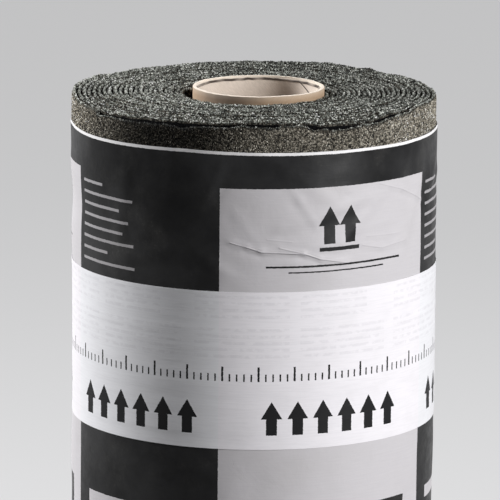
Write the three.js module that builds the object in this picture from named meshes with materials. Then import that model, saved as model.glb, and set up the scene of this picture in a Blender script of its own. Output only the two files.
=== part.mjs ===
// A roll of mineral-surfaced roofing felt: ten metres of sheet wound on a cardboard tube,
// in a paper wrapper that a band of adhesive tape holds shut. Millimetres, +Z up the roll's
// axis, origin at the middle of the end that it stands on.
import * as THREE from "three";
import { mergeVertices } from "three/addons/utils/BufferGeometryUtils.js";

// The sheet
const sheetWidth = 700; // the roll's height
const sheetLength = 10000;
const sheetPitch = 2.8; // one layer as wound, from face to face
const edgeGroove = 0.55; // half the width of the groove between two turns
const grooveDepth = 0.9;
const startAngle = 162; // degrees, where the sheet starts on the tube
const rampAngle = 48; // the first turn climbs over the sheet's start within this angle
const rampFade = 7; // turns until the climb is spread right round the roll
const startLift = 1.2; // how far the sheet's start stands off the tube
const liftAngle = 24; // reach of that hump at the bore, and in the outermost turn
const liftAngleOutside = 70;
const lastTurnDrop = 2.2; // the outermost turn sits this much lower at the top end
const dropMiddle = 272; // degrees, the middle of the lower stretch
const dropReach = 62; // degrees, half of it

// The cardboard tube
const tubeBoreRadius = 34.5;
const tubeWall = 2.3;
const tubeShift = 2.6; // it has slid up by this much, and stands proud of the felt
const tubePlay = 1.2; // all round in the felt's bore, before it leans to one side
const tubeRimRound = 0.5;

// The paper and the tape
const paperThickness = 0.3;
const bridgeAngle = 27; // degrees that the paper spans, past the step at the sheet's tail
const paperMargin = 17.4; // bare felt left at each end
const paperLap = 27; // degrees
const paperLapAngle = 45;
const tapeThickness = 0.3;
const tapeWidth = 88.4;
const tapeTopDrop = 94.9; // from the roll's top end to the tape's upper edge
const tapeLap = 18;
const tapeLapAngle = 126;
const lapClimb = 9; // degrees in which a lap's upper layer climbs over the lower one

const seatGap = 0.3; // between pieces that touch
const turnColumns = 40; // facets in one turn
const stripColumns = 80;

const fullTurn = 360;
const radians = THREE.MathUtils.degToRad;
const smooth = (low, high, value) => THREE.MathUtils.smoothstep(value, low, high);
const turned = (angle) => ((angle % fullTurn) + fullTurn) % fullTurn;

const tubeRadius = tubeBoreRadius + tubeWall;
const boreRadius = tubeRadius + seatGap + tubePlay;
const meanOuterRadius = Math.sqrt(boreRadius ** 2 + (sheetLength * sheetPitch) / Math.PI);
const boreFlat = boreRadius * Math.cos(Math.PI / turnColumns); // out to a facet's middle
const turnCount = (meanOuterRadius - boreRadius) / sheetPitch - 0.5;
const sheetColumns = Math.round(turnCount * turnColumns);
const lastTurnStart = sheetColumns - turnColumns;

// How far round from the sheet's start a bearing lies, in either direction, in degrees.
function offStart(turns) {
  const around = turned(turns * fullTurn);
  return Math.min(around, fullTurn - around);
}

// The radius of the sheet's inner face after so many turns. The first turn hugs the bore and
// climbs over the start all at once, and the later ones take that climb ever more gently.
function windingRadius(turns) {
  const whole = Math.floor(turns);
  const share = turns - whole;
  const steep = smooth(1 - rampAngle / fullTurn, 1, share);
  const climb = THREE.MathUtils.lerp(steep, share, Math.min(1, whole / rampFade));
  const reach = THREE.MathUtils.lerp(liftAngle, liftAngleOutside, Math.min(1, turns / turnCount));
  const hump = startLift * Math.exp(-((offStart(turns) / reach) ** 2));
  return boreRadius + sheetPitch * (whole + climb) + hump;
}

// The bearing of a column of the winding. Seen from above the sheet winds clockwise.
const columnAngle = (column) => startAngle - (column / turnColumns) * fullTurn;

// The height of the sheet's upper edge: the outermost turn dips along one stretch.
function upperEdge(column) {
  if (column < lastTurnStart) return sheetWidth;
  const away = Math.abs(turned(columnAngle(column) - dropMiddle + fullTurn / 2) - fullTurn / 2);
  return sheetWidth - lastTurnDrop * (1 - smooth(dropReach * 0.55, dropReach, away));
}

function polarPoint(radius, angle, height) {
  return [radius * Math.cos(radians(angle)), radius * Math.sin(radians(angle)), height];
}

// Collects points and faces for one closed surface.
function newSurface() {
  const positions = [];
  const indices = [];
  return {
    point(coordinates) {
      positions.push(...coordinates);
      return positions.length / 3 - 1;
    },
    quad(a, b, c, d) {
      indices.push(a, b, c, a, c, d);
    },
    fan(ring) {
      for (let i = 1; i + 1 < ring.length; i += 1) indices.push(ring[0], ring[i], ring[i + 1]);
    },
    geometry() {
      const made = new THREE.BufferGeometry();
      made.setAttribute("position", new THREE.Float32BufferAttribute(positions, 3));
      made.setIndex(indices);
      return made;
    },
  };
}

// One end of the winding: the groove between the turns, and the flat land of each turn's edge.
// Inward is -1 at the top end and 1 at the base.
function endRows(surface, edge, inward) {
  const deepest = inward < 0 ? Math.min : Math.max;
  const grooves = [];
  const landInner = [];
  const landOuter = [];
  for (let column = 0; column <= sheetColumns + turnColumns; column += 1) {
    const angle = columnAngle(column);
    const radius = windingRadius(column / turnColumns);
    const turnInside = edge(Math.max(column - turnColumns, 0));
    const turnOutside = edge(Math.min(column, sheetColumns));
    const floor = deepest(turnInside, turnOutside) + inward * grooveDepth;
    grooves.push(surface.point(polarPoint(radius, angle, floor)));
    if (column > sheetColumns) continue;
    const nextRadius = windingRadius(column / turnColumns + 1);
    landInner.push(surface.point(polarPoint(radius + edgeGroove, angle, edge(column))));
    landOuter.push(surface.point(polarPoint(nextRadius - edgeGroove, angle, edge(column))));
  }
  return { grooves, landInner, landOuter };
}

// The felt: both ends with their spiral of turns, the bore, the outside, and the sheet's two
// cut ends, which show as a step in the bore and a step on the outside.
function feltGeometry() {
  const surface = newSurface();
  const top = endRows(surface, upperEdge, -1);
  const base = endRows(surface, () => 0, 1);
  for (let i = 0; i < sheetColumns; i += 1) {
    const outer = i + turnColumns;
    surface.quad(top.grooves[i], top.grooves[i + 1], top.landInner[i + 1], top.landInner[i]);
    surface.quad(top.landInner[i], top.landInner[i + 1], top.landOuter[i + 1], top.landOuter[i]);
    surface.quad(top.landOuter[i], top.landOuter[i + 1], top.grooves[outer + 1], top.grooves[outer]);
    surface.quad(base.grooves[i], base.landInner[i], base.landInner[i + 1], base.grooves[i + 1]);
    surface.quad(base.landInner[i], base.landOuter[i], base.landOuter[i + 1], base.landInner[i + 1]);
    surface.quad(base.landOuter[i], base.grooves[outer], base.grooves[outer + 1], base.landOuter[i + 1]);
  }
  for (let i = 0; i < turnColumns; i += 1) {
    const outer = i + sheetColumns;
    surface.quad(top.grooves[i], base.grooves[i], base.grooves[i + 1], top.grooves[i + 1]);
    surface.quad(top.grooves[outer], top.grooves[outer + 1], base.grooves[outer + 1], base.grooves[outer]);
  }
  const cutEnd = (i) => [
    top.grooves[i], base.grooves[i], base.landInner[i], base.landOuter[i],
    base.grooves[i + turnColumns], top.grooves[i + turnColumns], top.landOuter[i], top.landInner[i],
  ];
  surface.fan(cutEnd(0).reverse());
  surface.fan(cutEnd(sheetColumns));
  return surface.geometry();
}

// The felt's outside at a bearing, with the step at the sheet's tail bridged as paper does.
function wrappedRadius(angle) {
  const pastTail = turned(columnAngle(sheetColumns) - angle);
  const turns = (sheetColumns + (pastTail / fullTurn) * turnColumns) / turnColumns;
  const bridge = 1 - smooth(0, bridgeAngle, pastTail);
  const step = windingRadius(turnCount + 1) - windingRadius(turnCount);
  return windingRadius(turns) + step * bridge;
}

// A sheet wound once round the roll, its end lapped over its start.
function wrapGeometry({ inside, thickness, bottom, top, lapAngle, lap }) {
  const surface = newSurface();
  const step = fullTurn / stripColumns;
  const columns = Math.round((fullTurn + lap) / step);
  const rings = [];
  for (let i = 0; i <= columns; i += 1) {
    const angle = lapAngle + i * step;
    const lift = (thickness + seatGap) * smooth(fullTurn - lapClimb, fullTurn, i * step);
    const radius = inside(angle) + lift;
    rings.push([
      surface.point(polarPoint(radius, angle, bottom)),
      surface.point(polarPoint(radius + thickness, angle, bottom)),
      surface.point(polarPoint(radius + thickness, angle, top)),
      surface.point(polarPoint(radius, angle, top)),
    ]);
  }
  for (let i = 0; i < columns; i += 1) {
    for (let k = 0; k < 4; k += 1) {
      const m = (k + 1) % 4;
      surface.quad(rings[i][k], rings[i + 1][k], rings[i + 1][m], rings[i][m]);
    }
  }
  surface.fan(rings[0]);
  surface.fan([...rings[columns]].reverse());
  return surface.geometry();
}

const paperInside = (angle) => wrappedRadius(angle) + seatGap;

// The paper's outer face: two layers thick across its lap.
function paperOutside(angle) {
  const past = turned(angle - paperLapAngle);
  const climbing = smooth(fullTurn - lapClimb, fullTurn, past);
  const falling = 1 - smooth(paperLap, paperLap + lapClimb, past);
  const second = Math.max(climbing, falling) * (paperThickness + seatGap);
  return paperInside(angle) + paperThickness + second;
}

// The tube: its wall is turned, with the arrises of both rims broken.
function tubeGeometry() {
  const r = tubeRimRound;
  const profile = [
    [tubeBoreRadius, r], [tubeBoreRadius + r, 0], [tubeRadius - r, 0], [tubeRadius, r],
    [tubeRadius, sheetWidth - r], [tubeRadius - r, sheetWidth],
    [tubeBoreRadius + r, sheetWidth], [tubeBoreRadius, sheetWidth - r], [tubeBoreRadius, r],
  ].map(([radius, height]) => new THREE.Vector2(radius, height));
  const turnedTube = new THREE.LatheGeometry(profile, turnColumns * 2);
  turnedTube.deleteAttribute("normal");
  turnedTube.deleteAttribute("uv");
  return mergeVertices(turnedTube.rotateX(Math.PI / 2), 1e-4);
}

function piece(name, geometry, finish) {
  const mesh = new THREE.Mesh(geometry, new THREE.MeshStandardMaterial(finish));
  mesh.name = name;
  return mesh;
}

const roll = new THREE.Group();
roll.add(piece("felt_roll", feltGeometry(), { color: 0x55564f, roughness: 0.95, metalness: 0 }));

const tube = piece("core_tube", tubeGeometry(), { color: 0xc2a57c, roughness: 0.85, metalness: 0 });
tube.position.set(boreFlat - seatGap - tubeRadius, 0, tubeShift);
roll.add(tube);

const paper = wrapGeometry({
  inside: paperInside,
  thickness: paperThickness,
  bottom: paperMargin,
  top: sheetWidth - paperMargin,
  lapAngle: paperLapAngle,
  lap: paperLap,
});
roll.add(piece("paper_wrapper", paper, { color: 0x2e2d30, roughness: 0.55, metalness: 0 }));

const tape = wrapGeometry({
  inside: (angle) => paperOutside(angle) + seatGap,
  thickness: tapeThickness,
  bottom: sheetWidth - tapeTopDrop - tapeWidth,
  top: sheetWidth - tapeTopDrop,
  lapAngle: tapeLapAngle,
  lap: tapeLap,
});
roll.add(piece("tape_band", tape, { color: 0xe9e9ec, roughness: 0.2, metalness: 0 }));

// The winding isn't quite round, so the roll is moved to stand with its middle on the origin.
const middle = new THREE.Box3().setFromObject(roll).getCenter(new THREE.Vector3());
roll.position.set(-middle.x, -middle.y, 0);

export default roll;
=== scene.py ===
import math

import bpy
import numpy as np
from mathutils import Matrix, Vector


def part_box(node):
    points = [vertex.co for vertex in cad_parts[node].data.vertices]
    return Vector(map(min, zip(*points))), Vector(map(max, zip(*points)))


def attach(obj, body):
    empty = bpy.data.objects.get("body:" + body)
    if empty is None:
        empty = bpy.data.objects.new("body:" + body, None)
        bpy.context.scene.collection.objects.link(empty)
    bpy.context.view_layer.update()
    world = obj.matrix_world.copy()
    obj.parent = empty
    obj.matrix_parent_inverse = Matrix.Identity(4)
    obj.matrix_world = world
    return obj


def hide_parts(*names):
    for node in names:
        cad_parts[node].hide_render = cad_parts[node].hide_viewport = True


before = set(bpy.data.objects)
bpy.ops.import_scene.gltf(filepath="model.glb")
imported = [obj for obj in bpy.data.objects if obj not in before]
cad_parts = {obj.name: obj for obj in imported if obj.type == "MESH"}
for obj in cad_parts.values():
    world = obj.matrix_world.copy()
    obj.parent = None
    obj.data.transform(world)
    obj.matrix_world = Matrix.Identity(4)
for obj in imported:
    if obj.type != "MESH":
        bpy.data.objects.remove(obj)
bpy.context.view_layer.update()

mm = 0.001
fullTurn = 2 * math.pi


def deselectAll():
    bpy.ops.object.select_all(action="DESELECT")


# A new piece, from an operator that runs with nothing selected.
def addPiece(name, operator, **settings):
    deselectAll()
    operator(**settings)
    piece = bpy.context.object
    piece.name = name
    return piece


def makeActive(piece):
    deselectAll()
    piece.select_set(True)
    bpy.context.view_layer.objects.active = piece


def editAll(selectMode="VERT"):
    bpy.ops.object.mode_set(mode="EDIT")
    bpy.ops.mesh.select_mode(type=selectMode)
    bpy.ops.mesh.select_all(action="SELECT")


def leaveEdit():
    bpy.ops.object.mode_set(mode="OBJECT")


def applyModifier(piece, modifier):
    makeActive(piece)
    bpy.ops.object.modifier_apply(modifier=modifier.name)


def smoothByAngle(degrees):
    bpy.ops.object.shade_smooth_by_angle(angle=math.radians(degrees))


def readVectors(items, name):
    flat = np.empty(len(items) * 3)
    items.foreach_get(name, flat)
    return flat.reshape(-1, 3)


def readPoints(piece):
    return readVectors(piece.data.vertices, "co")


def writePoints(piece, points):
    piece.data.vertices.foreach_set("co", points.ravel())
    piece.data.update()


def setAttributes(piece, **attributes):
    for name, values in attributes.items():
        layer = piece.data.attributes.new(name, "FLOAT", "POINT")
        layer.data.foreach_set("value", np.asarray(values, dtype=float))


# One row of x, y and z for each point.
def stackPoints(x, y=0, z=0):
    return np.stack(np.broadcast_arrays(x, y, z), axis=1)


def smoothStep(low, high, value):
    share = np.clip((value - low) / (high - low), 0, 1)
    return share * share * (3 - 2 * share)


# One at nought, sinking to about a third at the reach.
def hill(value, reach):
    return np.exp(-((value / reach) ** 2))


# A lattice noise from -1 to 1, the same on every run.
def softNoise(places, cell, seed):
    spots = places / cell
    base = np.floor(spots).astype(np.int64)
    share = spots - base
    share = share * share * (3 - 2 * share)
    total = np.zeros(len(spots))
    for step in np.ndindex(2, 2, 2):
        key = (base + step) * np.array([73856093, 19349663, 83492791])
        mixed = (key[:, 0] ^ key[:, 1] ^ key[:, 2] ^ (seed * 40503)) & 0xFFFFFFFF
        mixed = ((mixed ^ (mixed >> 15)) * 2246822519) & 0xFFFFFFFF
        mixed = ((mixed ^ (mixed >> 13)) * 3266489917) & 0xFFFFFFFF
        level = ((mixed >> 7) & 0xFFFF) / 32767.5 - 1
        total += level * np.prod(np.where(step, share, 1 - share), axis=1)
    return total


# A wave is a pair: its height and its cell.
def waveNoise(wave, places, seed):
    return wave[0] * softNoise(places, wave[1], seed)


# A flat grid, with each vertex's column along X and row along Y.
def flatGrid(name, columns, rows):
    grid = bpy.ops.mesh.primitive_grid_add
    piece = addPiece(name, grid, x_subdivisions=columns, y_subdivisions=rows, size=2)
    spots = (readPoints(piece) + 1) / 2
    column = np.rint(spots[:, 0] * columns).astype(int)
    row = np.rint(spots[:, 1] * rows).astype(int)
    return piece, column, row


# Places between stops, with its own step in each stretch.
def spacedSteps(stops, steps):
    stretches = [np.linspace(start, stop, round((stop - start) / step), endpoint=False)
                 for start, stop, step in zip(stops, stops[1:], steps)]
    return np.concatenate([*stretches, stops[-1:]])


def finishPiece(piece, slotName, material, *nodes):
    piece.data.materials.clear()
    piece.data.materials.append(material)
    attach(piece, "root")
    if nodes:
        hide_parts(*nodes)
    print("made", piece.name, len(piece.data.polygons), "faces")


# Bearings are in degrees from +X.
frontAngle = 270

# The winding, which every piece is laid on.
winding = {
    "pitch": 2.8 * mm,  # one layer as wound
    "sheetLength": 10,
    "startAngle": 162,  # where the sheet starts on the tube
    "rampAngle": 48,  # the first turn climbs over that start
    "rampFade": 7,  # turns until the climb goes right round
    "startLift": 1.2 * mm,
    "liftAngles": (24, 70),  # its half width inside and outside
    "tubePlay": 1.2 * mm,
    "seatGap": 0.3 * mm,
    "turnColumns": 40,
    "bridgeAngle": 27,  # that the paper spans past the sheet's tail
    "leanLeft": 85,  # left of the front, where the upper end leans out
    "leanReach": 42,
    "leanRise": (38 * mm, 15 * mm),  # from the end, where the lean starts and is full
}

feltLow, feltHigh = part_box("felt_roll")
tubeLow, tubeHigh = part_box("core_tube")
paperLow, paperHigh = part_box("paper_wrapper")
tapeLow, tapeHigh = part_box("tape_band")

sheetWidth = feltHigh[2] - feltLow[2]
tubeRadius = (tubeHigh[0] - tubeLow[0]) / 2
tubeCentre = ((tubeHigh[0] + tubeLow[0]) / 2, (tubeHigh[1] + tubeLow[1]) / 2)
boreRadius = tubeRadius + winding["seatGap"] + winding["tubePlay"]
tubeLean = boreRadius * math.cos(math.pi / winding["turnColumns"]) - winding["seatGap"] - tubeRadius
rollCentre = (tubeCentre[0] - tubeLean, tubeCentre[1])
outerRadius = math.sqrt(boreRadius ** 2 + winding["sheetLength"] * winding["pitch"] / math.pi)
turnCount = (outerRadius - boreRadius) / winding["pitch"] - 0.5
turnCount = round(turnCount * winding["turnColumns"]) / winding["turnColumns"]
tailAngle = winding["startAngle"] - turnCount * 360


# The sheet's inner face after so many turns.
def windingRadius(turns):
    whole = np.floor(turns)
    share = turns - whole
    steep = smoothStep(1 - winding["rampAngle"] / 360, 1, share)
    blend = np.minimum(1, whole / winding["rampFade"])
    climb = steep * (1 - blend) + share * blend
    grown = np.minimum(1, turns / turnCount)
    inside, outside = winding["liftAngles"]
    reach = inside * (1 - grown) + outside * grown
    hump = winding["startLift"] * hill(np.minimum(share, 1 - share) * 360, reach)
    return boreRadius + winding["pitch"] * (whole + climb) + hump


# The share of a turn that a bearing lies past the sheet's tail.
def pastTail(angle):
    return np.mod(tailAngle - angle, 360) / 360


# The felt's outside, with the step at its tail bridged as paper does.
def wrappedRadius(angle):
    past = pastTail(angle)
    bridge = 1 - smoothStep(0, winding["bridgeAngle"] / 360, past)
    step = windingRadius(turnCount + 1) - windingRadius(turnCount)
    return windingRadius(turnCount + past) + step * bridge


def frontDegrees(angle):
    return np.mod(angle - frontAngle + 180, 360) - 180


# The share of the upper end's lean at a place.
def leanShare(angle, height):
    start, end = winding["leanRise"]
    rise = smoothStep(sheetWidth - start, sheetWidth - end, height)
    return rise * hill(frontDegrees(angle + winding["leanLeft"]), winding["leanReach"])


def polarPlaces(radius, angle, height=0, centre=rollCentre):
    turn = np.radians(angle)
    return stackPoints(centre[0] + radius * np.cos(turn), centre[1] + radius * np.sin(turn), height)


# New nodes go into this canvas's tree.
canvas = {}


def feed(socket, value):
    if isinstance(value, bpy.types.NodeSocket):
        canvas["tree"].links.new(value, socket)
    elif socket.type == "RGBA":
        socket.default_value = (*value, 1)
    else:
        socket.default_value = value


def feedInputs(node, values):
    for name, value in dict(values).items():
        feed(node.inputs[name], value)


# A new node's outputs, once its settings and inputs are set.
def addNode(kind, inputs=(), **settings):
    node = canvas["tree"].nodes.new(kind)
    for name, value in settings.items():
        setattr(node, name, value)
    feedInputs(node, inputs)
    return node.outputs


def mathNode(operation):
    return lambda *values: addNode("ShaderNodeMath", enumerate(values), operation=operation)[0]


def vectorNode(operation, result="Vector"):
    kind = "ShaderNodeVectorMath"
    return lambda *values: addNode(kind, enumerate(values), operation=operation)[result]


add, subtract, multiply, divide, scaleAndAdd = map(
    mathNode, ("ADD", "SUBTRACT", "MULTIPLY", "DIVIDE", "MULTIPLY_ADD"))
smaller, larger, absolute, wrapInto, isBelow, isAbove, bearingOf = map(
    mathNode, ("MINIMUM", "MAXIMUM", "ABSOLUTE", "WRAP", "LESS_THAN", "GREATER_THAN", "ARCTAN2"))
addVectors, subtractVectors, absoluteVector, smallerVector = map(
    vectorNode, ("ADD", "SUBTRACT", "ABSOLUTE", "MINIMUM"))
dotProduct, vectorLength = vectorNode("DOT_PRODUCT", "Value"), vectorNode("LENGTH", "Value")


def scaleVector(vector, factor):
    inputs = {0: vector, "Scale": factor}
    return addNode("ShaderNodeVectorMath", inputs, operation="SCALE")["Vector"]


def splitVector(vector):
    return addNode("ShaderNodeSeparateXYZ", {0: vector})


def joinVector(*parts):
    return addNode("ShaderNodeCombineXYZ", enumerate(parts))[0]


# A smooth change from one range to another.
def remap(value, low, high, newLow=0, newHigh=1):
    inputs = enumerate((value, low, high, newLow, newHigh))
    return addNode("ShaderNodeMapRange", inputs, interpolation_type="SMOOTHSTEP")["Result"]


def mix(amount, first, second):
    inputs = {0: amount, 6: first, 7: second}
    return addNode("ShaderNodeMix", inputs, data_type="RGBA")[2]


def colourRamp(value, *stops):
    node = canvas["tree"].nodes.new("ShaderNodeValToRGB")
    feed(node.inputs["Fac"], value)
    ramp = node.color_ramp
    while len(ramp.elements) < len(stops):
        ramp.elements.new(0.5)
    for element, (place, colour) in zip(ramp.elements, stops):
        element.position = place
        element.color = (*colour, 1)
    return node.outputs["Color"]


def noise(vector, scale, detail=3, roughness=0.55, distortion=0):
    inputs = {"Vector": vector, "Scale": scale, "Detail": detail, "Roughness": roughness,
              "Distortion": distortion}
    return addNode("ShaderNodeTexNoise", inputs)["Fac"]


def noiseColour(vector, scale):
    return addNode("ShaderNodeTexNoise", {"Vector": vector, "Scale": scale})["Color"]


def bump(height, distance, strength=1, **inputs):
    inputs = {"Strength": strength, "Distance": distance, "Height": height, **inputs}
    return addNode("ShaderNodeBump", inputs)["Normal"]


def attribute(name):
    return addNode("ShaderNodeAttribute", attribute_name=name)["Fac"]


def objectPlace():
    return addNode("ShaderNodeTexCoord")["Object"]


def newMaterial(name):
    material = bpy.data.materials.new(name)
    material.use_nodes = True
    canvas.update(material=material, tree=material.node_tree)


# The material on the canvas, once its surface is fed.
def finishMaterial(colour, roughness, specular, others=()):
    surface = canvas["tree"].nodes["Principled BSDF"]
    feedInputs(surface, {"Base Color": colour, "Roughness": roughness, "Specular IOR Level": specular})
    feedInputs(surface, others)
    return canvas["material"]


# A function that places a new group. Its recipe turns a vector and the other inputs, which are
# vectors too where they have no number, into one mask or into several with names.
def makeGroup(name, recipe, **inputs):
    canvas["tree"] = group = bpy.data.node_groups.new(name, "ShaderNodeTree")
    for label, value in {"Vector": None, **inputs}.items():
        kind = "NodeSocketVector" if value is None else "NodeSocketFloat"
        socket = group.interface.new_socket(name=label, in_out="INPUT", socket_type=kind)
        if value is not None:
            socket.default_value = value
    made = recipe(*addNode("NodeGroupInput")[:len(inputs) + 1])
    masks = made if isinstance(made, dict) else {"Mask": made}
    for label in masks:
        group.interface.new_socket(name=label, in_out="OUTPUT", socket_type="NodeSocketFloat")
    addNode("NodeGroupOutput", masks)

    def place(*values):
        outputs = addNode("ShaderNodeGroup", node_tree=group)
        feedInputs(outputs[0].node, enumerate(values))
        return outputs if len(masks) > 1 else outputs[0]

    return place


# Crushed stone: each granule's tone and dome, and the gap round it.
def mineralParts(vector, size):
    scaled = scaleVector(vector, divide(1, size))
    nudge = scaleVector(noiseColour(scaled, 1.3), 0.55)
    inputs = {"Vector": addVectors(scaled, nudge), "Scale": 1}
    cells = addNode("ShaderNodeTexVoronoi", inputs, feature="F1")
    tone = addNode("ShaderNodeSeparateColor", {0: cells["Color"]})[0]
    away = cells["Distance"]
    return {"Tone": tone, "Dome": remap(away, 0.75, 0.05), "Gap": remap(away, 0.42, 0.72)}


# Drawn-out fibres, long along X and short along Y.
def fibreParts(vector, length, width):
    x, y, z = splitVector(vector)
    return noise(joinVector(divide(x, length), divide(y, width), z), 1, 4, 0.6)


# A printed rectangle: one inside it, nought outside.
def patchParts(vector, centre, half):
    distance = absoluteVector(subtractVectors(vector, centre))
    x, y, _ = splitVector(subtractVectors(distance, half))
    return isBelow(larger(x, y), 0)


# A printed arrow that points up, on a stem.
def arrowParts(vector, centre, size):
    unit = scaleVector(subtractVectors(vector, centre), divide(1, size))
    x, y, _ = splitVector(unit)
    underSlope = isBelow(absolute(x), multiply(subtract(0.5, y), 0.6))
    stem = placePatch(unit, (0, -0.25, 0), (0.16, 0.25, 1))
    return larger(multiply(underSlope, isAbove(y, -0.02)), stem)


# A film of stone dust, in smudges with finer specks.
def dustParts(vector, amount):
    smudges = remap(noise(vector, 34, 4, 0.6), 0.46, 0.78)
    specks = remap(noise(vector, 620, 2, 0.6), 0.5, 0.8, 0.35, 1)
    return multiply(multiply(smudges, specks), amount)


# A sharp straight fold: one on its crest, nought away from it.
def foldParts(vector, start, along, length, width):
    away = subtractVectors(vector, start)
    run = smaller(larger(dotProduct(away, along), 0), length)
    off = vectorLength(subtractVectors(away, scaleVector(along, run)))
    return remap(off, width, 0)


placeMineral = makeGroup("mineralGrain", mineralParts, Size=1.1 * mm)
placeFibres = makeGroup("drawnFibres", fibreParts, Length=6 * mm, Width=0.5 * mm)
placePatch = makeGroup("printPatch", patchParts, Centre=None, Half=None)
placeArrow = makeGroup("printArrow", arrowParts, Centre=None, Size=10 * mm)
placeDust = makeGroup("stoneDust", dustParts, Amount=0.3)
placeFold = makeGroup("pressedFold", foldParts, Start=None, Along=None, Length=10 * mm, Width=0.7 * mm)


# Prints are placed in millimetres along the wrap from the front, and up from the floor.
def patchMask(vector, x, z, halfWidth, halfHeight):
    return placePatch(vector, (x * mm, z * mm, 0), (halfWidth * mm, halfHeight * mm, 1))


def arrowMask(vector, x, z, size):
    return placeArrow(vector, (x * mm, z * mm, 0), size * mm)


def anyOf(masks):
    total = masks[0]
    for mask in masks[1:]:
        total = larger(total, mask)
    return total


# Bars below each other, with their left ends in line.
def barsMask(vector, left, top, pitch, bars):
    return anyOf([patchMask(vector, left + width / 2, top - pitch * index, width / 2, tall / 2)
                  for index, (width, tall) in enumerate(bars)])


def printPlace():
    return addNode("ShaderNodeUVMap", uv_map="print")["UV"]


# The print's place, with the slight wander of a press's edge.
def inkPlace():
    place = printPlace()
    centred = subtractVectors(noiseColour(place, 900), (0.5, 0.5, 0.5))
    return addVectors(place, scaleVector(centred, 0.5 * mm))


# A place, folded along the wrap into one repeat.
def repeatPlace(vector, start, period):
    x, z, _ = splitVector(vector)
    return joinVector(wrapInto(x, (start + period) * mm, start * mm), z)


def drawnFibres(place, length, width):
    return placeFibres(place, length * mm, width * mm)


felt = {
    "thickness": 2.2 * mm,
    "innerSwell": 0.42 * mm,  # the inner turns are pressed tighter
    "innerReach": (14 * mm, 38 * mm),
    "column": 1.38 * mm,  # one facet along the sheet
    "edgeWave": (0.8 * mm, 42 * mm),  # along each turn's edge
    "turnScatter": (0.35 * mm, 0.9),  # from one turn to the next
    "fineWave": (0.42 * mm, 2.9 * mm),
    "dish": 1.9 * mm,  # the inner turns lie this much lower at the top
    "dishReach": 18.75 * mm,
    "sagReach": 24 * mm,  # in from the outside, where the turns sag
    "outerFade": 4 * mm,
    "sideWave": (0.55 * mm, 17 * mm),  # the turns' ends sway in and out
    "shiver": (0.12 * mm, 1),
    "flareReach": 17 * mm,  # this far down from the end
    "ragged": (0.15, 2.2),  # share by which the slip varies
    "gape": 0.8 * mm,  # how far the slipped edge stands off
    "fullGape": 2 * mm,  # from this slip on
    "endLean": 1.15 * mm,
    "bareMargin": 17.4 * mm,  # left bare by the paper
}

# How far the last turn has slipped down: degrees from the front, and depth.
slipAngles = [
    -60, -58.5, -57, -53, -48, -43, -39, -35, -29, -24, -19, -14, -9, -5, 2, 8, 14, 18, 21, 24, 30, 35, 40,
    46, 51, 56, 61,
]
slipDepths = [
    0, 2.4, 2.3, 1.5, 2.1, 2.6, 3.1, 2.8, 2.4, 3.5, 2.2, 1.9, 2.2, 1.6, 2.4, 1.7, 1, 3.4, 2.1, 3.2, 2.5, 1.5,
    1.3, 2.1, 1.6, 1, 0,
]

# How far the outer turns sag together: degrees from the front, and depth.
sagAngles = [
    -180, -175, -168, -162, -155, -149, -143, -137, -130, -125, -119, -112, -103, -90, -80, -72, -64, -57,
    -53, -48, -43, -39, -35, -29, -24, -14, -9, -5, 2, 8, 14, 18, 21, 24, 30, 35, 40, 46, 51, 56, 63, 72, 90,
    103, 109, 118, 128, 133, 139, 145, 151, 158, 165, 172, 180,
]
sagDepths = [
    -0.4, -0.3, -0.2, -0.1, 0.2, 0.7, 0.4, 0.5, 0.9, 1.2, -0.2, 0.1, -0.2, 0, 0.9, 2, 3, 3.4, 3.2, 2.9, 2.8,
    2.3, 2.3, 1.9, 2, 1.9, 1.7, 1.3, 1.2, 1.3, 1.4, 2, 3.1, 3.2, 3.6, 3.2, 3.4, 1, 0.4, 0.9, -0.3, 0, 0.4,
    0.8, 0.5, 0, 0.1, 0.7, -0.7, -0.1, -1.1, -1.7, -1.2, -1, -0.4,
]

# Painted light and shade on the last turn's face, by degrees from the front: paler at the left and right,
# where the lamps light it, and darkest at the front left as painted shade.
paleAngles = [-180, -90, -75, -62, -50, -43, -38, -30, -16, -9, -2, 10, 20, 40, 60, 90, 120, 180]
paleShares = [1, 3, 2.8, 1.5, 0.95, 0.45, 0.23, 0.18, 0.22, 0.7, 1.22, 1.28, 1.38, 1.45, 1.95, 2, 1.3, 1]

# Painted light and shade on a turn's top edge: paler in its middle, darker near its faces as painted shade
# in the gaps between turns, paler on one side as painted light, and darker on the last turn.
crestShading = {
    "middle": 1.17, "fall": 0.68, "reach": 0.32, "paler": 0.18, "palerAngle": -60, "lastTurnFall": 0.45,
}

# The sheet's section, from its inner face over the top edge and back under the lower one: share
# of the thickness, and millimetres above that edge.
topSection = [(0, -9), (0, -1.7), (0.18, -0.45), (0.5, 0), (0.82, -0.45), (1, -1.7), (1, -17.4), (1, -40)]
baseSection = [(1, 17.4), (1, 0.8), (0.75, 0), (0.25, 0), (0, 0.8)]
feltSection = np.array(topSection + baseSection)


# Even steps along the wound sheet, as turns from its start.
def sheetTurns(step):
    fine = np.linspace(0, turnCount, 4001)
    radii = windingRadius(fine)
    lengths = np.concatenate([[0], np.cumsum((radii[1:] + radii[:-1]) / 2 * np.diff(fine) * fullTurn)])
    count = int(lengths[-1] / step)
    return np.interp(np.linspace(0, lengths[-1], count + 1), lengths, fine)


# One in the last turn, nought in the others.
def inLastTurn(turns):
    return smoothStep(turnCount - 1.01, turnCount - 0.99, turns)


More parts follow.
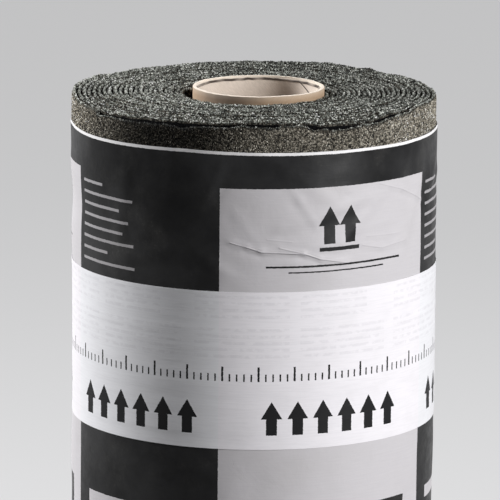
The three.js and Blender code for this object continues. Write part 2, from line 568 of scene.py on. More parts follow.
def topEdgeHeight(turns, radius, angle):
    places = polarPlaces(radius, angle, np.floor(turns) * 0.31)
    inward = outerRadius - radius
    outside = smoothStep(felt["sagReach"], felt["outerFade"], inward)
    height = waveNoise(felt["edgeWave"], places, 3)
    height += waveNoise(felt["turnScatter"], stackPoints(turns * 0.9, 3.5), 9)
    height *= 1 - 0.8 * outside
    height += waveNoise(felt["fineWave"], places, 5)
    height -= felt["dish"] * np.exp(-(radius - boreRadius) / felt["dishReach"])
    height -= outside * np.interp(frontDegrees(angle), sagAngles, sagDepths) * mm
    return height - slippedBy(turns, angle)


def slippedBy(turns, angle):
    fromFront = frontDegrees(angle)
    depth = np.interp(fromFront, slipAngles, slipDepths, left=0, right=0) * mm
    ragged = 1 + waveNoise(felt["ragged"], stackPoints(fromFront), 13)
    return depth * ragged * inLastTurn(turns)


def makeFelt():
    turns = sheetTurns(felt["column"])
    piece, column, row = flatGrid("felt_sheet", len(turns) - 1, len(feltSection))
    row = row % len(feltSection)
    turn = turns[column]
    angle = winding["startAngle"] - turn * 360
    inner = windingRadius(turn)
    share, offset = feltSection[row].T
    near, far = felt["innerReach"]
    tight = 1 - smoothStep(boreRadius + near, boreRadius + far, inner)
    radius = inner + share * (felt["thickness"] + felt["innerSwell"] * tight)
    edge = sheetWidth + topEdgeHeight(turn, inner, angle)
    height = np.where(row < len(topSection), edge, 0) + offset * mm
    flare = smoothStep(sheetWidth - felt["flareReach"], sheetWidth, height)
    sway = waveNoise(felt["sideWave"], polarPlaces(radius, angle), 21)
    shiver = waveNoise(felt["shiver"], stackPoints(turn * 60, share), 23)
    fade = felt["outerFade"]
    inBore = smoothStep(boreRadius, boreRadius + fade, inner)
    covered = smoothStep(outerRadius, outerRadius - fade, inner + winding["pitch"])
    radius += flare * (sway * inBore * (0.35 + 0.65 * covered) + shiver)
    slip = slippedBy(turn, angle)
    radius += flare * felt["gape"] * np.minimum(1, slip / felt["fullGape"])
    lean = felt["endLean"] * leanShare(angle, height)
    radius += lean * smoothStep(boreRadius + 20 * mm, outerRadius, radius)
    writePoints(piece, polarPlaces(radius, angle, height))
    lastTurn = inLastTurn(turn)
    crest = (share > 0.05) & (share < 0.95)
    buried = 1 - np.maximum(lastTurn * (share > 0.9), crest)
    fromFront = frontDegrees(angle)
    # Painted light and shade: on the last turn's face by bearing, and on each turn's top edge.
    pale = 1 + (np.interp(fromFront, paleAngles, paleShares) - 1) * lastTurn
    # Painted shade towards the gaps between turns, and painted light on one side.
    crestShade = crestShading["middle"] - crestShading["fall"] * np.abs(share - 0.5) / crestShading["reach"]
    crestShade += crestShading["paler"] * np.cos(np.radians(fromFront - crestShading["palerAngle"]))
    crestShade = np.maximum(crestShade, 0) * (1 - crestShading["lastTurnFall"] * lastTurn)
    setAttributes(piece, buried=buried, pale=np.where(crest, crestShade * pale, pale))
    editAll()
    bpy.ops.mesh.remove_doubles(threshold=0.01 * mm)
    bpy.ops.mesh.fill_holes(sides=0)
    bpy.ops.mesh.normals_make_consistent(inside=False)
    leaveEdit()
    smoothByAngle(50)
    return piece


grains = {
    "density": 2.1e6,  # per square metre
    "topSize": 0.52 * mm,
    "bandSize": 0.35 * mm,
    "smallest": np.array([0.6, 0.6, 0.5]),
    "largest": np.array([1.5, 1.3, 1.2]),
    "stretch": [1.15, 0.8, 0.85],
    "knock": 0.22,
    "topReach": 12 * mm,  # the turns' edges lie within this
    "overlap": 1 * mm,  # they stop this far outside the paper
    "footGap": 0.8 * mm,  # and this far above the floor
}


# A copy of the felt, cut down to the faces that granules lie on.
def grainBed(piece, name, keep):
    makeActive(piece)
    bpy.ops.object.duplicate()
    bed = bpy.context.object
    bed.name = name
    faces = bed.data.polygons
    wanted = keep(readVectors(faces, "center"), readVectors(faces, "normal"))
    editAll("FACE")
    leaveEdit()
    bed.data.polygons.foreach_set("select", ~wanted)
    bpy.ops.object.mode_set(mode="EDIT")
    bpy.ops.mesh.delete(type="FACE")
    leaveEdit()
    return bed


def onTopEdges(centres, normals):
    return (centres[:, 2] > sheetWidth - grains["topReach"]) & (normals[:, 2] > 0.6)


def onBareBands(centres, normals):
    x, y = (centres[:, :2] - rollCentre).T
    distance = np.hypot(x, y)
    outward = (x * normals[:, 0] + y * normals[:, 1]) / distance
    angle = np.degrees(np.arctan2(y, x))
    outermost = distance > windingRadius(turnCount + pastTail(angle)) - winding["pitch"] / 2
    fromMiddle = np.abs(centres[:, 2] - sheetWidth / 2)
    bare = fromMiddle > sheetWidth / 2 - felt["bareMargin"] + grains["overlap"]
    return outermost & (outward > 0.5) & bare & (centres[:, 2] > grains["footGap"])


# A small pyramid with its corners knocked about.
def makeGranule():
    cone = bpy.ops.mesh.primitive_cone_add
    granule = addPiece("granule", cone, vertices=3, radius1=1, radius2=0, depth=1.5)
    points = readPoints(granule)
    knocks = grains["knock"] * np.random.default_rng(4).normal(size=points.shape)
    writePoints(granule, points * grains["stretch"] + knocks)
    return granule


def scatterGranules(bed, granule, size, seed, material):
    canvas["tree"] = group = bpy.data.node_groups.new(bed.name + "Scatter", "GeometryNodeTree")
    for way in ("INPUT", "OUTPUT"):
        group.interface.new_socket(name="Geometry", in_out=way, socket_type="NodeSocketGeometry")
    mesh = addNode("NodeGroupInput")[0]

    def randomVector(low, high, itsSeed):
        inputs = {"Min": low, "Max": high, "Seed": itsSeed}
        return addNode("FunctionNodeRandomValue", inputs, data_type="FLOAT_VECTOR")[0]

    inputs = {"Mesh": mesh, "Density": grains["density"], "Seed": seed}
    points = addNode("GeometryNodeDistributePointsOnFaces", inputs)["Points"]
    tone = addNode("FunctionNodeRandomValue", {"Seed": seed + 1}, data_type="FLOAT")[1]
    inputs = {"Geometry": points, "Name": "tone", "Value": tone}
    toned = addNode("GeometryNodeStoreNamedAttribute", inputs, data_type="FLOAT", domain="POINT")[0]
    inputs = {
        "Points": toned,
        "Instance": addNode("GeometryNodeObjectInfo", {"Object": granule})["Geometry"],
        "Rotation": randomVector((0, 0, 0), (fullTurn,) * 3, seed + 2),
        "Scale": randomVector(size * grains["smallest"], size * grains["largest"], seed + 3),
    }
    placed = addNode("GeometryNodeInstanceOnPoints", inputs)[0]
    addNode("NodeGroupOutput", {0: addNode("GeometryNodeRealizeInstances", {0: placed})[0]})
    scatter = bed.modifiers.new("scatter", "NODES")
    scatter.node_group = group
    applyModifier(bed, scatter)
    finishPiece(bed, "felt", material)


endTones = [
    (0, (0.008, 0.008, 0.008)), (0.25, (0.04, 0.043, 0.039)), (0.5, (0.193, 0.207, 0.185)),
    (0.75, (0.445, 0.465, 0.42)), (1, (0.86, 0.87, 0.82)),
]
faceTones = [
    (0, (0.012, 0.011, 0.01)), (0.25, (0.062, 0.057, 0.046)), (0.5, (0.165, 0.15, 0.122)),
    (0.75, (0.31, 0.285, 0.235)), (1, (0.6, 0.57, 0.5)),
]
feltColours = {
    "brownStone": (0.13, 0.105, 0.078),
    "bitumen": (0.004, 0.004, 0.0045),
    "palest": (0.85, 0.85, 0.85),
}


# How far the painted shade darkens the granules by moving their tone, not by a factor; the painted light
# pales them by a factor.
def makeGranuleMaterial(name, tones, shadeByTone):
    newMaterial(name)
    place = objectPlace()
    patches = noise(place, 38, 3)
    clumps = noise(place, 430, 1)
    tone = add(attribute("tone"), scaleAndAdd(patches, 0.5, -0.25))
    tone = add(tone, scaleAndAdd(clumps, 0.7, -0.35))
    pale = attribute("pale")
    shadeBelow = smaller(subtract(pale, 1), 0)
    colour = colourRamp(scaleAndAdd(shadeBelow, shadeByTone, tone), *tones)
    brown = remap(noise(place, 420, 1), 0.5, 0.75, 0, 0.4)
    colour = mix(brown, colour, feltColours["brownStone"])
    colour = scaleVector(colour, scaleAndAdd(shadeBelow, -shadeByTone, pale))
    colour = smallerVector(colour, feltColours["palest"])
    return finishMaterial(colour, remap(noise(place, 900), 0.3, 0.7, 0.55, 0.95), 0.2)


def makeFeltMaterial():
    newMaterial("mineralFelt")
    place = objectPlace()
    coarse = placeMineral(place, 1.15 * mm)
    fine = placeMineral(place, 0.5 * mm)
    tone = multiply(coarse["Tone"], 0.6)
    tone = scaleAndAdd(fine["Tone"], 0.3, tone)
    tone = scaleAndAdd(noise(place, 30, 4), 0.35, subtract(tone, 0.12))
    stone = colourRamp(tone, *faceTones)
    # Faces under the next turn go bitumen black: their own colour, and painted shade at the foot of each gap
    # between turns.
    buried = remap(attribute("buried"), 0.3, 0.75)
    pits = larger(scaleAndAdd(coarse["Gap"], 0.6, 0.35), buried)
    colour = mix(pits, stone, feltColours["bitumen"])
    # The painted light and shade scale the colour.
    colour = scaleVector(colour, attribute("pale"))
    relief = bump(scaleAndAdd(fine["Dome"], 0.3, coarse["Dome"]), 0.45 * mm)
    return finishMaterial(colour, remap(coarse["Tone"], 0, 1, 0.75, 0.97), 0.03, {"Normal": relief})


feltPiece = makeFelt()
granule = makeGranule()
topBed = grainBed(feltPiece, "felt_end_granules", onTopEdges)
bandBed = grainBed(feltPiece, "felt_margin_granules", onBareBands)
stone = makeGranuleMaterial("endGranules", endTones, 0)
scatterGranules(topBed, granule, grains["topSize"], 11, stone)
stone = makeGranuleMaterial("faceGranules", faceTones, 0.45)
scatterGranules(bandBed, granule, grains["bandSize"], 31, stone)
bpy.data.objects.remove(granule, do_unlink=True)
finishPiece(feltPiece, "felt", makeFeltMaterial(), "felt_roll")


tube = {
    "wall": 2.3 * mm,
    "rimRound": 0.35 * mm,
    "steps": 300,
    "bodyReach": 40 * mm,  # down from the felt's end, where close rows start
    "tearDrop": 1.35 * mm,  # from the rim to the torn inner ply
    "tearWave": 0.6 * mm,
    "rimReach": 6 * mm,  # the rim is uneven and tilted down to here
    "rimTilt": 0.45 * mm,  # the rim's back stands higher
    "plyStep": 0.45 * mm,
    "plyCurl": 0.3 * mm,
    "rimRough": (0.12 * mm, 3 * mm),
    "rimWave": 0.22 * mm,
    "oval": 0.3 * mm,
    "lean": -0.3 * mm,
    "seamSlope": 0.663,  # rise of the seam along the bore's round
    "seamStart": 107 * mm,
}
tubeColours = {
    "kraft": ((0.385, 0.27, 0.175), (0.455, 0.325, 0.22)),
    "kraftBlotch": (0.33, 0.235, 0.16),
    "liner": ((0.62, 0.545, 0.475), (0.72, 0.63, 0.555)),
    "linerBlotch": (0.53, 0.46, 0.385),
    "smudge": (0.15, 0.11, 0.085),
    "cutRim": (0.8, 0.715, 0.62),
    "seamLip": (0.68, 0.59, 0.5),
    "crack": (0.028, 0.017, 0.012),
}
tubeInside = tubeRadius - tube["wall"]


# The wall's section, as radii and heights from its lower inner edge.
def tubeProfile():
    wall, rimRound = tube["wall"], tube["rimRound"]
    bottom, top = tubeLow[2], tubeHigh[2]
    lowest, highest = bottom + rimRound, top - rimRound
    outerRows = [lowest, bottom + 12 * mm, *np.linspace(sheetWidth - tube["bodyReach"], highest, 16)]
    innerRows = [*np.linspace(highest, top - 4 * mm, 24), *np.linspace(top - 5 * mm, top - 12 * mm, 8),
                 *np.linspace(top - 18 * mm, lowest, 12)]
    points = [(tubeInside + rimRound, bottom), (tubeRadius - rimRound, bottom)]
    points += [(tubeRadius, height) for height in outerRows]
    points += [(tubeRadius - share * wall, top) for share in (0.15, 0.38, 0.62, 0.85)]
    points += [(tubeInside, height) for height in innerRows]
    return points


def makeTube():
    piece = addPiece("tube_wall", bpy.ops.mesh.primitive_plane_add, size=2 * mm)
    editAll()
    bpy.ops.mesh.merge(type="CENTER")
    first, *steps = [(across, 0, up) for across, up in np.diff([(0, 0), *tubeProfile()], axis=0)]
    bpy.ops.transform.translate(value=first)
    for step in steps:
        bpy.ops.mesh.extrude_region_move(TRANSFORM_OT_translate={"value": step})
    editAll()
    bpy.ops.mesh.edge_face_add()
    bpy.ops.mesh.delete(type="ONLY_FACE")
    editAll()
    bpy.ops.mesh.spin(steps=tube["steps"], angle=fullTurn, center=(0, 0, 0), axis=(0, 0, 1))
    editAll()
    bpy.ops.mesh.remove_doubles(threshold=0.02 * mm)
    bpy.ops.mesh.normals_make_consistent(inside=False)
    leaveEdit()
    roughenTube(piece)
    smoothByAngle(35)
    return piece


# Gives the plain tube its worn rim, torn inner ply and slightly oval round.
def roughenTube(piece):
    x, y, height = readPoints(piece).T
    radius, angle = np.hypot(x, y), np.arctan2(y, x)
    top = tubeHigh[2]
    ring = stackPoints(np.cos(angle), np.sin(angle))
    inner = radius < tubeRadius - tube["wall"] * 0.9
    nearTop = smoothStep(top - tube["rimReach"], top, height)
    ragged = 0.65 * softNoise(ring, 0.34, 41) + 0.35 * softNoise(ring, 0.09, 43)
    aboveTear = height - top + tube["tearDrop"] + tube["tearWave"] * ragged
    torn = smoothStep(-0.16 * mm, 0.16 * mm, aboveTear) * inner
    curl = hill(aboveTear + 0.45 * mm, 0.55 * mm) * inner * (aboveTear < 0.1 * mm)
    shift = tube["plyStep"] * torn - tube["plyCurl"] * curl + tube["oval"] * np.cos(2 * angle)
    shift += nearTop * waveNoise(tube["rimRough"], ring * 30 * mm, 51)
    rim = smoothStep(top - 0.5 * mm, top, height)
    wave = softNoise(ring, 0.5, 53) + 0.6 * softNoise(ring, 0.06, 57) - 0.4
    rise = rim * tube["rimWave"] * wave + nearTop * tube["rimTilt"] * (1 + np.sin(angle)) / 2
    centre = (tubeCentre[0] + tube["lean"], tubeCentre[1])
    degrees = np.degrees(angle)
    writePoints(piece, polarPlaces(radius + shift, degrees, height + rise, centre))
    aboveTear += rise
    # A near-black line under the torn inner ply's edge: painted shadow over the darker torn kraft.
    crack = np.minimum(1, 3 * hill(aboveTear + 0.15 * mm, 0.5 * mm)) * inner
    crack *= np.clip(0.85 + 0.4 * softNoise(ring, 0.16, 59), 0, 1)
    cutRim = np.maximum(rim, smoothStep(0.2 * mm, 0.5 * mm, aboveTear) * inner)
    fromFront = frontDegrees(degrees)
    # Darker patches: inside, at the back right of the bore, painted shade; outside, a darker patch at the
    # front left.
    smudge = np.where(inner, 0.55 * hill(fromFront - 150, 15), 0.7 * hill(fromFront + 32, 34))
    setAttributes(piece, crack=crack, innerFace=inner, cutRim=cutRim, smudge=smudge)


def makeTubeMaterial():
    newMaterial("kraftBoard")
    place = objectPlace()
    inner = attribute("innerFace")
    rim = attribute("cutRim")
    x, y, z = splitVector(subtractVectors(place, (*tubeCentre, 0)))
    around = bearingOf(y, x)
    along = multiply(around, tubeRadius)
    woundPlace = joinVector(add(along, z), subtract(z, along))
    fibres = drawnFibres(woundPlace, 5, 0.7)
    shade = remap(fibres, 0.3, 0.7)
    blotches = noise(place, 60, 4)
    kraft = mix(shade, *tubeColours["kraft"])
    kraft = mix(remap(blotches, 0.4, 0.75, 0, 0.5), kraft, tubeColours["kraftBlotch"])
    liner = mix(shade, *tubeColours["liner"])
    liner = mix(remap(blotches, 0.5, 0.8, 0, 0.5), liner, tubeColours["linerBlotch"])
    colour = mix(inner, kraft, liner)
    # Painted shade inside the bore, and a darker patch outside at the front left.
    colour = mix(attribute("smudge"), colour, tubeColours["smudge"])
    colour = mix(rim, colour, tubeColours["cutRim"])
    # The inner ply's seam, its height wrapped into one lead.
    lead = tube["seamSlope"] * fullTurn * tubeInside
    start = tube["seamStart"]
    offset = subtract(z, multiply(around, tube["seamSlope"] * tubeInside))
    off = subtract(wrapInto(offset, start + lead / 2, start - lead / 2), start)
    gap = remap(absolute(off), 0.55 * mm, 0.2 * mm)
    besideSeam = absolute(add(off, 1 * mm))
    lip = multiply(remap(besideSeam, 0.6 * mm, 0.2 * mm), multiply(inner, 0.5))
    seam = multiply(gap, subtract(inner, rim))
    colour = mix(lip, colour, tubeColours["seamLip"])
    # The seam's gap and the painted shadow under the torn ply's edge take the near-black colour.
    dark = larger(seam, attribute("crack"))
    colour = mix(multiply(dark, 0.95), colour, tubeColours["crack"])
    relief = bump(subtract(multiply(fibres, 0.25), seam), 0.35 * mm)
    return finishMaterial(colour, remap(fibres, 0.2, 0.8, 0.7, 0.9), 0.3, {"Normal": relief})


finishPiece(makeTube(), "tube_board", makeTubeMaterial(), "core_tube")


paper = {
    "thickness": 0.25 * mm,
    "standOff": 0.6 * mm,  # its outside, off the felt
    "columnSteps": (2.15, 0.62, 2.15),  # degrees
    "rowSteps": (5.8 * mm, 1.2 * mm, 2.4 * mm),
    "fineAngles": (252, 336),  # where the front panel is creased
    "fineHeights": (614 * mm, 668 * mm),
    "lapAngle": 45,
    "lap": 27,
    "lapClimb": 9,
    "lapCurl": 0.5 * mm,
    "layer": 0.6 * mm,  # of a second layer, with the air under it
    "buckle": 0.55 * mm,  # slow unevenness
    "tapeHold": (2, 14),  # millimetres from the tape: held flat, and free
    "shallow": 0.5 * mm,  # the felt holds up deeper dents
    "give": 0.32 * mm,
    "topWave": (0.35 * mm, 23),
    "topReach": 14 * mm,
    "endLean": 0.6 * mm,  # the felt leans out further
    "sharpWidth": 2,  # up to this, a crease also has a folded line
    "sharpHeight": 0.5,
}


# A crease's start, direction and length, from its ends in millimetres right of the front and up.
def measureCrease(x1, z1, x2, z2, tall, wide):
    length = math.hypot(x2 - x1, z2 - z1)
    return x1, z1, (x2 - x1) / length, (z2 - z1) / length, length, tall, wide


# Creases in the paper: both ends, height and half width.
paperCreases = [measureCrease(*crease) for crease in (
    (-14, 632.5, -5, 630.2, 0.3, 1.8), (-5, 630.2, 3, 627.6, 0.46, 1.4), (3, 627.6, 26, 626.2, 0.5, 1.3),
    (13, 629.8, 26, 626.6, 0.35, 1.5), (26, 626.6, 36, 622.9, 0.5, 1.4), (36, 622.9, 52, 619.8, 0.42, 1.8),
    (19, 663, 24, 656, 0.18, 2.6), (24, 656, 33, 642.4, 0.22, 2.4),
    (75, 661.5, 93, 656.3, 0.2, 1.5), (93, 656.3, 115, 647, 0.3, 1.5),
    (63, 628.4, 77, 625.4, 0.25, 1.7), (77, 625.4, 96, 627.2, 0.22, 1.9), (60, 637, 84, 640, 0.15, 2.4),
    (66, 633, 90, 632, 0.14, 1.8), (-11, 648, 3, 630, 0.14, 3), (6, 634.5, 20, 633, 0.14, 1.8),
)]

# Dents: millimetres right of the front and up, depth, and reach along and up.
paperDents = [
    (-156, 640, 0.95, 34, 8.2), (-160, 661, -0.55, 34, 9), (-160, 472, 0.4, 32, 12),
    (-160, 568, 0.85, 34, 42), (-160, 528, 0.75, 34, 20),
    (158, 470, 0.5, 14, 20), (10, 640, 0.25, 14, 7), (-96, 646, 0.25, 16, 10),
]

# How the paper's top edge strays: degrees from the front, and millimetres.
paperTopAngles = [
    -110, -84, -76, -70, -62, -44, -34, -26, -20, -10, 0, 11, 20, 35, 44, 51, 57, 68, 75, 82, 110,
]
paperTopRises = [
    0, 1.4, 0.75, 0.55, 0.2, 0.15, 0.4, 0.65, 0.55, 0.2, 0, -0.2, 0, 0, -0.4, -0.5, -0.25, -0.1, 0.3, 0.6, 0,
]


# Fine creases above and below the tape.
def strewCreases(count, seed):
    picker = np.random.default_rng(seed)
    creases = []
    for _ in range(count):
        along = picker.uniform(-320, 320)
        height = picker.uniform(30, 500) if picker.random() < 0.75 else picker.uniform(610, 670)
        lean = picker.normal(0, 0.35) + (math.pi / 2 if picker.random() < 0.2 else 0)
        length = picker.uniform(14, 60)
        end = along + length * math.cos(lean), height + length * math.sin(lean)
        size = picker.uniform(0.2, 0.55), picker.uniform(3, 4.8)
        creases.append(measureCrease(along, height, *end, *size))
    return creases


frontRadius = wrappedRadius(frontAngle) + paper["standOff"]
allCreases = paperCreases + strewCreases(70, 67)


# How far the paper strays from its even round.
def paperRelief(along, height):
    relief = np.zeros(len(along))
    for x, z, ux, uz, length, tall, wide in allCreases:
        run = (along - x) * ux + (height - z) * uz
        side = (height - z) * ux - (along - x) * uz
        past = np.maximum(np.maximum(-run, run - length), 0)
        # A ridge with a wider hollow along its lower side.
        ridge = hill(side, wide) - 0.55 * hill(side + 1.7 * wide, 1.2 * wide)
        relief += tall * mm * hill(past, 1.3 * wide) * ridge
    spots = stackPoints(along, height * 0.55)
    relief += paper["buckle"] * (0.6 * softNoise(spots, 34, 61) + 0.25 * softNoise(spots, 13, 63))
    held, free = paper["tapeHold"]
    offTape = np.maximum(tapeLow[2] / mm - height, height - tapeHigh[2] / mm)
    relief *= 1 - 0.85 * smoothStep(free, held, offTape)
    for x, z, deep, wide, tall in paperDents:
        relief -= deep * mm * hill(along - x, wide) * hill(height - z, tall)
    shallow, give = paper["shallow"], paper["give"]
    return np.where(relief > -shallow, relief, -shallow + give * np.tanh((relief + shallow) / give))


# The paper's outside, where a layer under it adds so much.
def paperRadius(angle, height, layer):
    along = np.radians(frontDegrees(angle)) * frontRadius / mm
    lean = paper["endLean"] * leanShare(angle, height)
    return wrappedRadius(angle) + paper["standOff"] + layer + paperRelief(along, height / mm) + lean


# What a second layer adds as it climbs over the first.
def lapRise(sizes, turn):
    return smoothStep(360 - sizes["lapClimb"], 360, turn) * sizes["layer"]


def paperOutside(angle, height):
    past = np.mod(angle - paper["lapAngle"], 360)
    lap = paper["lap"]
    falling = (1 - smoothStep(lap, lap + 5, past)) * paper["layer"]
    return paperRadius(angle, height, np.maximum(lapRise(paper, past), falling))


# Gives a grid its places, its print's map in metres, and its thickness.
def finishWrap(piece, places, angle, height, thickness):
    writePoints(piece, places)
    along = np.radians(angle - frontAngle) * frontRadius
    corners = np.empty(len(piece.data.loops), dtype=np.int64)
    piece.data.loops.foreach_get("vertex_index", corners)
    layer = piece.data.uv_layers.active
    layer.name = "print"
    layer.data.foreach_set("uv", np.stack([along[corners], height[corners]], axis=1).ravel())
    shell = piece.modifiers.new("thickness", "SOLIDIFY")
    shell.thickness = thickness
    shell.offset = -1
    applyModifier(piece, shell)
    smoothByAngle(40)
    return piece


def makePaper():
    start, lapEnd = paper["lapAngle"], 360 + paper["lap"]
    columns = spacedSteps((start, *paper["fineAngles"], start + lapEnd), paper["columnSteps"])
    top = paperHigh[2]
    rows = spacedSteps((paperLow[2], *paper["fineHeights"], top), paper["rowSteps"])
    piece, column, row = flatGrid("paper_sheet", len(columns) - 1, len(rows) - 1)
    angle = columns[column]
    turn = angle - start
    height = rows[row]
    radius = paperRadius(angle, height, lapRise(paper, turn))
    radius += smoothStep(lapEnd - 4, lapEnd, turn) * paper["lapCurl"]
    edge = smoothStep(top - paper["topReach"], top, height)
    rise = waveNoise(paper["topWave"], stackPoints(turn), 71)
    rise += np.interp(frontDegrees(angle), paperTopAngles, paperTopRises) * mm
    places = polarPlaces(radius, angle, height + edge * rise)
    return finishWrap(piece, places, angle, height, paper["thickness"])


printSizes = {
    "period": 240.6,
    "start": -20.1,
    "whitePanel": (47.2, 331.3, 67.3, 331.3),  # middle, and half width and height
    "marginLine": 1.6,
    # Bars on the dark panel and below the tape: left, top, pitch, then widths and heights.
    "bars": (120.1, 656.2, 6.25, [(width, 1.6) for width in (21, 46, 36, 43, 39, 47, 26, 48)]),
    "barStrength": 0.62,
    "lowBars": (127.5, 477, 14, [(52, 7), (70, 4), (40, 4)]),
    "arrows": ((41.5, 641.5, 21), (54.5, 641.5, 21)),  # middle and size
    # Dark patches on the white panel, in the same way.
    "patches": ((48, 628, 12.5, 1.1), (48, 619, 42.5, 0.55), (48, 615.8, 30, 0.4), (48, 470, 50, 12)),
}
paperColours = {
    "white": ((0.505, 0.488, 0.51), (0.58, 0.562, 0.58)),
    "whiteCloud": (0.46, 0.443, 0.446),
    "black": ((0.0095, 0.0095, 0.01), (0.034, 0.034, 0.035)),
    "marginLine": (0.86, 0.85, 0.86),
    "dust": (0.3, 0.29, 0.27),
}


# The print's repeating place, its white panels, and the line along its edge.
def paperPrintMasks(place):
    folded = repeatPlace(place, printSizes["start"], printSizes["period"])
    panel = patchMask(folded, *printSizes["whitePanel"])
    line = patchMask(folded, 0, paperHigh[2] / mm, 10000, printSizes["marginLine"])
    return folded, panel, line


def makePaperMaterial():
    newMaterial("printedPaper")
    place = printPlace()
    folded, panel, line = paperPrintMasks(inkPlace())
    bars = multiply(barsMask(folded, *printSizes["bars"]), printSizes["barStrength"])
    light = anyOf([line, bars, barsMask(folded, *printSizes["lowBars"])])
    dark = [arrowMask(folded, *arrow) for arrow in printSizes["arrows"]]
    dark = anyOf(dark + [patchMask(folded, *patch) for patch in printSizes["patches"]])
    light = anyOf([multiply(panel, subtract(1, dark)), light])
    fibres = drawnFibres(place, 14, 0.9)
    clouds = noise(objectPlace(), 22, 5)
    white = mix(fibres, *paperColours["white"])
    white = mix(remap(clouds, 0.45, 0.8, 0, 0.35), white, paperColours["whiteCloud"])
    black = mix(remap(clouds, 0.3, 0.75), *paperColours["black"])
    colour = mix(light, black, white)
    colour = mix(multiply(line, 0.9), colour, paperColours["marginLine"])
    dust = placeDust(objectPlace(), 0.16)
    wrinkles = scaleAndAdd(fibres, 0.25, noise(place, 95, 5, 0.6, 0.6))
    folds = []
    for x, z, ux, uz, length, tall, wide in paperCreases:
        if wide <= paper["sharpWidth"]:
            fold = placeFold(place, (x * mm, z * mm, 0), (ux, uz, 0), length * mm)
            folds.append(multiply(fold, tall / paper["sharpHeight"]))
    relief = bump(anyOf(folds), 0.3 * mm, Normal=bump(wrinkles, 0.35 * mm, 0.55))
    colour = mix(dust, colour, paperColours["dust"])
    roughness = remap(noise(place, 150, 4, 0.65), 0.3, 0.7, 0.31, 0.46)
    return finishMaterial(colour, roughness, 0.08, {"Normal": relief})


finishPiece(makePaper(), "wrapper_paper", makePaperMaterial(), "paper_wrapper")


tape = {
    "thickness": 0.16 * mm,
    "columns": 264,
    "rows": 40,
    "lapAngle": 126,
    "lap": 18,
    "lapClimb": 6,
    "layer": 0.35 * mm,
    "standOff": 0.28 * mm,
    "ribHeight": 0.1 * mm,
}


def makeTape():
    columns, rows = tape["columns"], tape["rows"]
    piece, column, row = flatGrid("tape_strip", columns, rows)
    turn = column / columns * (360 + tape["lap"])
    angle = tape["lapAngle"] + turn
    bottom, top = tapeLow[2], tapeHigh[2]
    height = bottom + (top - bottom) * row / rows
    ribs = softNoise(stackPoints(turn * 0.054, height / mm), 2.4, 81) * tape["ribHeight"]
    radius = paperOutside(angle, height) + tape["standOff"] + lapRise(tape, turn) + ribs
    return finishWrap(piece, polarPlaces(radius, angle, height), angle, height, tape["thickness"])


# A row of arrows and a plain scale.
tapePrint = {
    "period": 120.6,
    "start": -3,
    "arrows": (2, 88, 6, 534.2, 19),  # left, width of the row, count, height and size
    "scaleBase": 555,
    "scalePitch": 4,
    "ticks": ((1, 4.1, 0.45), (5, 8.2, 0.6)),  # every so many, height and half width
}

# Rows of broken bars that show faintly through the tape.
showThrough = {
    "start": -36,
    "pitch": 3.7,
    "firstRow": 569,
    "rowReach": (0.5, 1.2),
    "wordLength": 4.5,
    "strength": 0.24,
    # Middle, and half width and height.
    "blocks": [
        (-7.5, 576.3, 26.5, 9.3), (-7.5, 596.1, 26.5, 6.9), (52, 576.3, 27, 9.3), (45.5, 596.1, 20.5, 6.9),
    ],
}
tapeColours = {
    "film": ((0.775, 0.776, 0.805), (0.8, 0.778, 0.812)),  # over dark and over white paper
    "stroke": (0.56, 0.55, 0.58),
    "showThrough": (0.5, 0.485, 0.52),
    "blotch": (0.62, 0.61, 0.63),
    "dust": (0.42, 0.41, 0.39),
    "ink": (0.014, 0.014, 0.015),
}


def showThroughMask(place):
    half = showThrough["pitch"] / 2 * mm
    above = subtract(splitVector(place)[1], showThrough["firstRow"] * mm)
    off = absolute(wrapInto(above, half, -half))
    near, far = showThrough["rowReach"]
    rows = remap(off, far * mm, near * mm)
    words = remap(drawnFibres(place, showThrough["wordLength"], showThrough["pitch"]), 0.4, 0.56)
    folded = repeatPlace(place, showThrough["start"], tapePrint["period"])
    blocks = anyOf([patchMask(folded, *block) for block in showThrough["blocks"]])
    return multiply(multiply(multiply(rows, words), blocks), showThrough["strength"])


def makeTapeMaterial():
    newMaterial("whiteTape")
    place = printPlace()
    ink = inkPlace()
    folded = repeatPlace(ink, tapePrint["start"], tapePrint["period"])
    left, width, count, up, size = tapePrint["arrows"]
    marks = [arrowMask(folded, left + (index + 0.5) * width / count, up, size) for index in range(count)]
    for every, tall, halfWidth in tapePrint["ticks"]:
        tick = repeatPlace(ink, 0, tapePrint["scalePitch"] * every)
        middle = tapePrint["scaleBase"] + tall / 2
        marks.append(patchMask(tick, tapePrint["scalePitch"] / 2, middle, halfWidth, tall / 2))
    panel = paperPrintMasks(place)[1]
    strokes = remap(drawnFibres(place, 26, 1.9), 0.48, 0.68)
    fine = drawnFibres(place, 15, 0.9)
    drawn = remap(fine, 0.42, 0.66)
    blotches = remap(noise(place, 60, 3), 0.45, 0.75, 0, 0.16)
    dust = placeDust(objectPlace(), 0.12)
    film = mix(panel, *tapeColours["film"])
    layers = [
        (multiply(strokes, 0.06), "stroke"), (multiply(drawn, 0.14), "stroke"),
        (showThroughMask(place), "showThrough"), (blotches, "blotch"), (dust, "dust"), (anyOf(marks), "ink"),
    ]
    for amount, colour in layers:
        film = mix(amount, film, tapeColours[colour])
    relief = bump(scaleAndAdd(strokes, 0.5, multiply(fine, 0.12)), 0.07 * mm, 0.6)
    return finishMaterial(film, remap(fine, 0.3, 0.7, 0.34, 0.5), 0.08, {"Normal": relief})


finishPiece(makeTape(), "tape", makeTapeMaterial(), "tape_band")


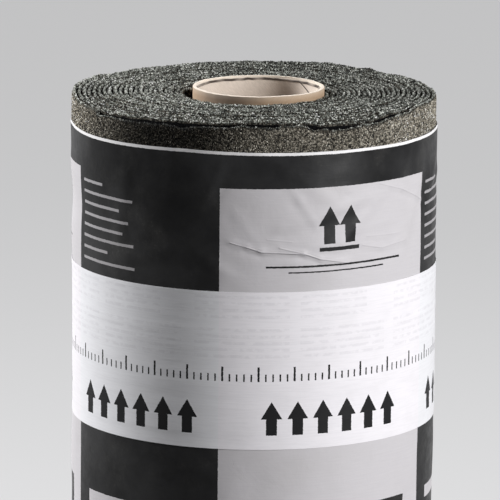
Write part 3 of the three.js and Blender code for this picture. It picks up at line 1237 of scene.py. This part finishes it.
studio = {
    "floorSize": 60,
    "floorColours": ((0.07, 0.07, 0.07), (0.24, 0.24, 0.243)),  # for bounced light, and as seen
    "floorGlow": ((0, 0, 0), (0.5, 0.5, 0.505)),
    "worldStrength": (0.05, 0.65),
    # Name, bearing right of the front, distance, height, height aimed at, size and power.
    "softboxes": [
        ("keyRight", 56, 2.2, 1.35, 0.6, (0.7, 2.2), 74.5),
        ("sideLeft", -109, 2.2, 1.75, 0.55, (0.5, 1.2), 102),
        ("backFill", 158, 2.4, 1.6, 0.55, (1.2, 1.2), 12),
    ],
    "cameraPlace": (-0.00201, -2.9382, 1.1922),
    "cameraDown": 11.24,  # degrees
    "cameraRoll": 0.475,
    "focalLength": 10.5766,  # in picture widths
}


# One for what is seen directly, in a gloss or through a clear piece.
def seenMask():
    rays = addNode("ShaderNodeLightPath")
    return anyOf([rays["Is Camera Ray"], rays["Is Glossy Ray"], rays["Is Transmission Ray"]])


def makeFloor():
    floor = addPiece("studio_floor", bpy.ops.mesh.primitive_plane_add, size=studio["floorSize"])
    newMaterial("paleFloor")
    seen = seenMask()
    glow = {"Emission Color": mix(seen, *studio["floorGlow"]), "Emission Strength": 1}
    floor.data.materials.append(finishMaterial(mix(seen, *studio["floorColours"]), 0.9, 0.1, glow))


def makeWorld():
    world = bpy.data.worlds.new("studio")
    bpy.context.scene.world = world
    world.use_nodes = True
    canvas["tree"] = world.node_tree
    strength = remap(seenMask(), 0, 1, *studio["worldStrength"])
    feedInputs(world.node_tree.nodes["Background"], {"Color": (1, 1, 1), "Strength": strength})


def placeObject(name, data, location, rotation):
    thing = bpy.data.objects.new(name, data)
    bpy.context.scene.collection.objects.link(thing)
    thing.location = location
    thing.rotation_euler = rotation
    return thing


def addSoftbox(name, bearing, distance, height, aimHeight, size, watts):
    turn = math.radians(bearing)
    light = bpy.data.lights.new(name, "AREA")
    light.shape = "RECTANGLE"
    light.size, light.size_y = size
    light.energy = watts
    tilt = math.pi / 2 - math.atan2(height - aimHeight, distance)
    location = (distance * math.sin(turn), -distance * math.cos(turn), height)
    placeObject(name, light, location, (tilt, 0, turn))


def makeCamera():
    view = bpy.data.cameras.new("view")
    view.sensor_width = 36
    view.lens = studio["focalLength"] * view.sensor_width
    view.clip_end = 200
    tilt = Matrix.Rotation(math.radians(90 - studio["cameraDown"]), 3, "X")
    roll = Matrix.Rotation(math.radians(studio["cameraRoll"]), 3, "Z")
    camera = placeObject("view", view, studio["cameraPlace"], (tilt @ roll).to_euler())
    bpy.context.scene.camera = camera


makeFloor()
makeWorld()
for softbox in studio["softboxes"]:
    addSoftbox(*softbox)
makeCamera()
bpy.context.scene.view_settings.view_transform = "Standard"
print("studio done")
